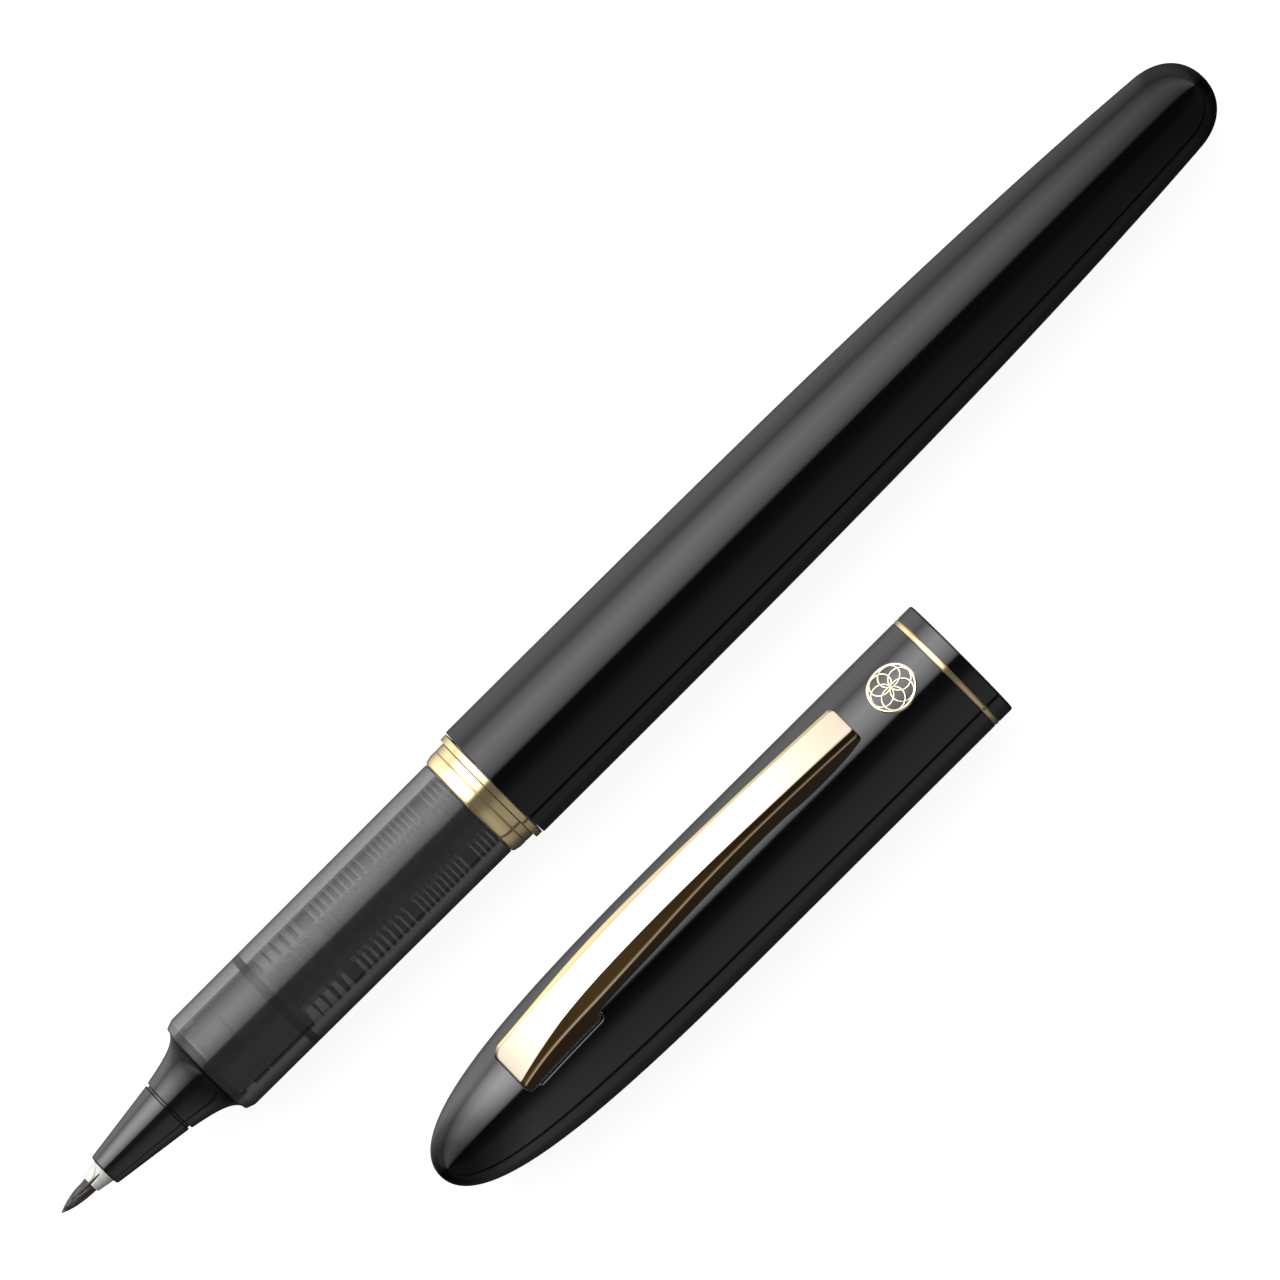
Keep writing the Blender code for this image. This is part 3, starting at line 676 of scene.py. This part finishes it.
gold_ring = [(RING_STATION - 0.26, CAP_SPIGOT_R + 0.04), (RING_STATION - 0.26, CAP_R - 0.06),
             (RING_STATION - 0.13, CAP_R), (RING_STATION + 0.13, CAP_R), (RING_STATION + 0.26, CAP_R - 0.06),
             (RING_STATION + 0.26, CAP_SPIGOT_R + 0.04)]
lip_band = [(59.80, CAP_SPIGOT_R + 0.04), (59.80, CAP_R), (CAP_LENGTH - 0.12, CAP_R),
            (CAP_LENGTH, CAP_R - 0.12), (CAP_LENGTH, LIP_BORE), (60.65, LIP_BORE),
            (60.65, CAP_SPIGOT_R + 0.04)]
add_piece("cap_gold_ring", skin(turned(gold_ring, sides=256, ease=0.03)), CAP_AXIS, "cap", "gold_plate",
          turned_gold, "cap_ring")
add_piece("cap_lip_band", skin(turned(lip_band, sides=256, ease=0.06)), CAP_AXIS, "cap", "black_lacquer",
          cap_lacquer, "cap_lip_ring")


# Ornament. A gold rosette inlaid in the lacquer between the clip and the lip: a hoop and six equal
# circles through its middle, each a flat wire bent round the cap.

EMBLEM_STATION, EMBLEM_R = 55.3, 2.25


def bent_wire(along, across, radius, half_width, top=CAP_R + 0.035, steps=120):
    """A ring of flat wire: a low trapezoid carried round a circle, then laid on the cap, where
    across / CAP_R is the angle round it."""
    turn = 2 * np.pi * np.arange(steps)[:, None] / steps
    reach = radius + half_width * np.array([-1.0, -0.8, 0.8, 1.0])
    height = np.array([CAP_R - 0.1, top, top, CAP_R - 0.1]) + 0 * turn
    angle = (across + reach * np.sin(turn)) / CAP_R
    place = [along + reach * np.cos(turn), height * np.sin(angle), height * np.cos(angle)]
    return np.stack(place, -1), True, True


petals = [bent_wire(EMBLEM_STATION + math.cos(turn), math.sin(turn), 1.0, 0.10)
          for turn in np.radians(range(0, 360, 60))]
hoop = bent_wire(EMBLEM_STATION, 0.0, EMBLEM_R - 0.16, 0.16, CAP_R + 0.04)
bright_gold = gold_plate("gold_bright", (2.0, 2.0, 2.0), (0.93, 0.80, 0.58))
add_piece("rosette", skin(hoop, *petals), CAP_AXIS, "cap", "gold_plate", bright_gold, "emblem",
          roll=CLIP_ROLL)


# Clip. Gold-plated sheet folded into an arched channel: a flat top, a bevel either side that is
# widest at the waist, and sides cut away under the arch. It springs on its root, inside the slot.

CLIP_SHEET, CLIP_WAIST = 0.45, 11.0


def rounding(distance, radius):
    """How far a round corner stands back this distance from the end: r - sqrt(r^2 - (r - d)^2)."""
    return radius - np.sqrt(np.maximum(radius ** 2 - (radius - np.minimum(distance, radius)) ** 2, 0.0))


def clip_hem(along):
    """Height of the side's lower edge: the root, a step up at the slot's end, an arch and a foot."""
    root = [(0, 4.15), (4.3, 4.45), (8.5, 4.75)]
    # The arch runs low so that the wall below the dim bevel, painted dark, also covers the band where the clip's
    # dark reflection on the cap belongs: a painted reflection.
    arch = curve((8.65, 5.8), (10.2, 7.05), (26, 6.95), (31.5, 6.35), 60)
    foot = curve((31.5, 6.35), (33.5, 5.6), (38.3, 5.6), (CLIP_LENGTH, 6.8), 40)
    edge = np.vstack([root, arch, foot[1:]])
    return np.interp(along, edge[:, 0], edge[:, 1])


def clip_path(along, inset):
    """The section from one hem over the top to the other, as (..., 6, 2) points of (across, height).
    The flat's half-width is 1.3 + 0.5 (1 - s/11)^2 before the waist and grows by 0.1 behind it, and
    the bevel is 0.38 + 0.52 exp(-((s - 11)/w)^2)."""
    arch = curve((0, 6.1), (9, 9.7), (22, 10.2), (CLIP_LENGTH, 8.15), 200)
    ends = np.minimum(along, CLIP_LENGTH - along)
    top = np.interp(along, arch[:, 0], arch[:, 1]) - inset - rounding(ends, 0.14)
    front_widening = 0.5 * np.clip(1 - along / CLIP_WAIST, 0, 1) ** 2
    rear_widening = 0.10 * np.clip((along - CLIP_WAIST) / 20, 0, 1)
    flat = 1.30 + front_widening + rear_widening - 0.5 * inset
    spread = np.where(along < CLIP_WAIST, 7.0, 12.0)
    bevel = 0.38 + 0.52 * np.exp(-((along - CLIP_WAIST) / spread) ** 2) - 0.5 * inset
    drop = 0.72 * bevel
    away, near = rounding(along, 0.3) + rounding(CLIP_LENGTH - along, 0.3), rounding(along, 1.0)
    near = near + rounding(CLIP_LENGTH - along, 0.45)
    low = np.minimum(clip_hem(along), top - drop - 0.3)
    left, right = -(flat + bevel) + away, flat + bevel - near
    fold = 0.25 * np.clip(along / 6, 0, 1) - flat
    across = np.stack([left, left, fold + away, flat - near, right, right], -1)
    height = np.stack([low, top - drop, top, top, top - drop, low], -1)
    return np.stack([across, height], -1)


def clip_sheet():
    """The folded sheet: outer and inner section joined at the hems, carried along the clip, with a
    wall across each end. soft is the rounding of each corner, out over the top and back inside."""
    ends = 1.1 * (1 - np.cos(np.linspace(0, np.pi / 2, 16)))
    along = np.concatenate([ends, np.linspace(1.2, CLIP_LENGTH - 1.2, 170), CLIP_LENGTH - ends[::-1]])
    along = np.sort(np.concatenate([along, [8.5, 8.65]]))
    within = np.clip(along, CLIP_SHEET, CLIP_LENGTH - CLIP_SHEET)
    loop = np.concatenate([clip_path(along, 0.0), clip_path(within, CLIP_SHEET)[:, ::-1]], axis=1)
    low = loop[:, [0, 5], 1]
    loop[:, 6, 1], loop[:, 11, 1] = low[:, 1], low[:, 0]
    soft = np.array([0.05, 0.22, 0.10, 0.10, 0.22, 0.05, 0.05, 0.1, 0.1, 0.1, 0.1, 0.05])
    section = eased(loop, soft)
    half = section.shape[1] // 2
    station = np.where(np.arange(section.shape[1]) < half, along[:, None], within[:, None])
    grid = np.concatenate([CLIP_START + station[..., None], section], -1)
    walls = []
    for row in (grid[0], grid[-1]):
        for side in (row[:half], row[half:]):
            walls.append((np.stack([side[:half // 2], side[::-1][:half // 2]], 1), False, False))
        walls.append((np.stack([row[[0, half - 1]], row[[-1, half]]], 0), False, False))
    return skin((grid, False, True), *walls)


def clip_gold_painted_light():
    """The clip's plating, coloured facet by facet by the attribute fold, each colour standing in for how the
    light falls there: yellow on the bright side (-1), pale on the flat top (0), redder on the dim bevel, a pale
    painted reflection on the edge below that bevel (1), and painted shade below (2)."""
    material = gold_plate("gold_clip", (0.4, 3.0, 3.0))
    tree = material.node_tree
    fold = add_node(tree, "Attribute", {"attribute_name": "fold"}).outputs["Fac"]
    ramp = add_node(tree, "ValToRGB", Fac=between(tree, fold, 0.0, 1.0, -1.0, 2.0))
    yellow, pale, red, dark = (0.92, 0.77, 0.40), (0.68, 0.59, 0.46), (0.90, 0.54, 0.17), (0.20, 0.10, 0.03)
    steps = ramp.color_ramp.elements
    steps[0].color, steps[-1].color = (*yellow, 1.0), (*dark, 1.0)
    # From 0.96 to 1.24 a pale painted reflection on the edge below the dim bevel; from 1.5 on, painted shade on
    # the wall below it.
    for place, colour in ((-0.3, yellow), (-0.05, pale), (0.05, pale), (0.2, red), (0.76, red),
                          (0.96, (1.0, 0.82, 0.55)), (1.24, (1.0, 0.82, 0.55)), (1.5, dark)):
        steps.new((place + 1) / 3).color = (*colour, 1.0)
    tree.links.new(ramp.outputs["Color"], tree.nodes["Principled BSDF"].inputs["Base Color"])
    return material


sheet = clip_sheet()
clip = shaped("clip_spring", sheet, CAP_AXIS, CLIP_ROLL)
outer = clip_path(np.clip(sheet[0][:, 0] - CLIP_START, 0.0, CLIP_LENGTH), 0.0)
crest, corner = outer[:, 2, 1], outer[:, 1, 1]
bevelled = (crest - sheet[0][:, 2]) / (crest - corner)
below = 1 + (corner - sheet[0][:, 2]) / 0.3
side = -np.sign(sheet[0][:, 1])
# fold: -1 on the bright side, 0 on the flat top, 1 at the dim bevel's lower edge and 2 down the wall below it,
# where the painted shade goes.
fold = clip.data.attributes.new("fold", "FLOAT", "POINT")
fold.data.foreach_set("value", np.clip(side * np.where(bevelled < 1, bevelled, below), -1.0, 2.0))
settle(clip, "clip", "gold_plate", clip_gold_painted_light(), "clip")


# Studio. A pale floor, a broad soft light on the pen's side of the pair that ends sharply overhead,
# and a dim grey card opposite. Gloss shows these lights alone, without the floor or other pieces.

def studio_floor():
    material, tree, shader = finish("studio_floor", Roughness=0.9, Specular_IOR_Level=0.0,
                                    Emission_Color=(1.0, 1.0, 1.0, 1.0))
    pale = blended(tree, grain(tree, 0.004), (0.29, 0.29, 0.29), (0.31, 0.31, 0.31))
    tree.links.new(pale, shader.inputs["Base Color"])
    seen = add_node(tree, "LightPath").outputs["Is Camera Ray"]
    tree.links.new(between(tree, seen, 0.06, 0.92), shader.inputs["Emission Strength"])
    mesh = bpy.data.meshes.new("studio_floor")
    reach = 0.8
    corners = [(-reach, -reach, 0), (reach, -reach, 0), (reach, reach, 0), (-reach, reach, 0)]
    mesh.from_pydata(corners, [], [(0, 1, 2, 3)])
    mesh.materials.append(material)
    floor = bpy.data.objects.new("studio_floor", mesh)
    bpy.context.scene.collection.objects.link(floor)


def graded(tree, value, reach, scale, stops):
    """The brightness at a value from -reach to reach, by stops at (180 value / reach, brightness)."""
    ramp = add_node(tree, "ValToRGB", Fac=between(tree, value, 0.0, 1.0, -reach, reach))
    steps = ramp.color_ramp.elements
    for degrees, level in stops:
        step = {-180: steps[0], 180: steps[-1]}.get(degrees) or steps.new(0.5 + degrees / 360)
        step.color = (*[level / scale] * 3, 1.0)
    times = add_node(tree, "VectorMath", {"operation": "SCALE"}, Vector=ramp.outputs["Color"], Scale=scale)
    return times.outputs["Vector"]


def studio_light():
    """Brightness by the direction's angle round the X axis, from straight down through the dark
    side (-), overhead (0) and the bright side (+). It fades towards +X and towards -X. Gloss seen
    through clear plastic gets 0.3 of it."""
    world = bpy.data.worlds.new("studio_light")
    world.use_nodes = True
    bpy.context.scene.world = world
    tree = world.node_tree
    way = add_node(tree, "SeparateXYZ", Vector=add_node(tree, "TexCoord").outputs["Generated"])
    angle = add_node(tree, "Math", {"operation": "ARCTAN2"})
    tree.links.new(way.outputs["Y"], angle.inputs[0])
    tree.links.new(way.outputs["Z"], angle.inputs[1])
    around = graded(tree, angle.outputs[0], math.pi, 3.7, (
        (-180, 0.02), (-150, 0.03), (-128, 0.08), (-112, 0.20), (-97, 0.25), (-94, 0.02), (-90, 0.02),
        (-87, 0.28), (-60, 0.28), (-35, 0.23), (-17, 0.06), (0, 0.02), (7, 0.03), (11, 1.25), (17, 1.9),
        (35, 3.15), (53, 3.7), (74, 2.4), (89, 1.0), (106, 1.25), (128, 0.85), (152, 0.3), (180, 0.04)))
    along = graded(tree, way.outputs["X"], 1.0, 1.4, (
        (-180, 0.20), (-135, 0.24), (-90, 0.6), (-54, 1.4), (-34, 1.3), (-7, 1.0), (4, 1.0), (20, 0.70),
        (38, 0.36), (180, 0.33)))
    light_path = add_node(tree, "LightPath")
    through_clear = add_node(tree, "Math", {"operation": "MULTIPLY", "use_clamp": True})
    tree.links.new(light_path.outputs["Is Glossy Ray"], through_clear.inputs[0])
    tree.links.new(light_path.outputs["Transmission Depth"], through_clear.inputs[1])
    strength = add_node(tree, "Math", {"operation": "MULTIPLY"})
    tree.links.new(between(tree, through_clear.outputs[0], 1.0, 0.3), strength.inputs[0])
    tree.links.new(along, strength.inputs[1])
    glow = add_node(tree, "Background", Color=around, Strength=1.0)
    tree.links.new(strength.outputs[0], glow.inputs["Strength"])
    paper = add_node(tree, "Background", Color=(1.0, 1.0, 1.0, 1.0), Strength=1.0)
    both = add_node(tree, "MixShader", Fac=light_path.outputs["Is Camera Ray"])
    tree.links.new(glow.outputs[0], both.inputs[1])
    tree.links.new(paper.outputs[0], both.inputs[2])
    tree.links.new(both.outputs[0], tree.nodes["World Output"].inputs["Surface"])


def camera_overhead():
    """A long lens 0.9 m above the pen's axis, turned so that the pen rises to the right."""
    data = bpy.data.cameras.new("overhead")
    data.sensor_width = 36.0
    data.lens = 303.7
    slant, axis_height, distance = 44.86, 5.9, 900.0
    camera = bpy.data.objects.new("overhead", data)
    camera.location = (0.77 * MM, float(PEN_AXIS[1]) - 0.15 * MM, (distance + axis_height) * MM)
    camera.rotation_euler = (0.0, 0.0, -math.radians(slant))
    bpy.context.scene.collection.objects.link(camera)
    bpy.context.scene.camera = camera


studio_floor()
studio_light()
for piece in bpy.context.scene.objects:
    piece.visible_glossy = False
camera_overhead()
bpy.context.scene.view_settings.view_transform = "Standard"
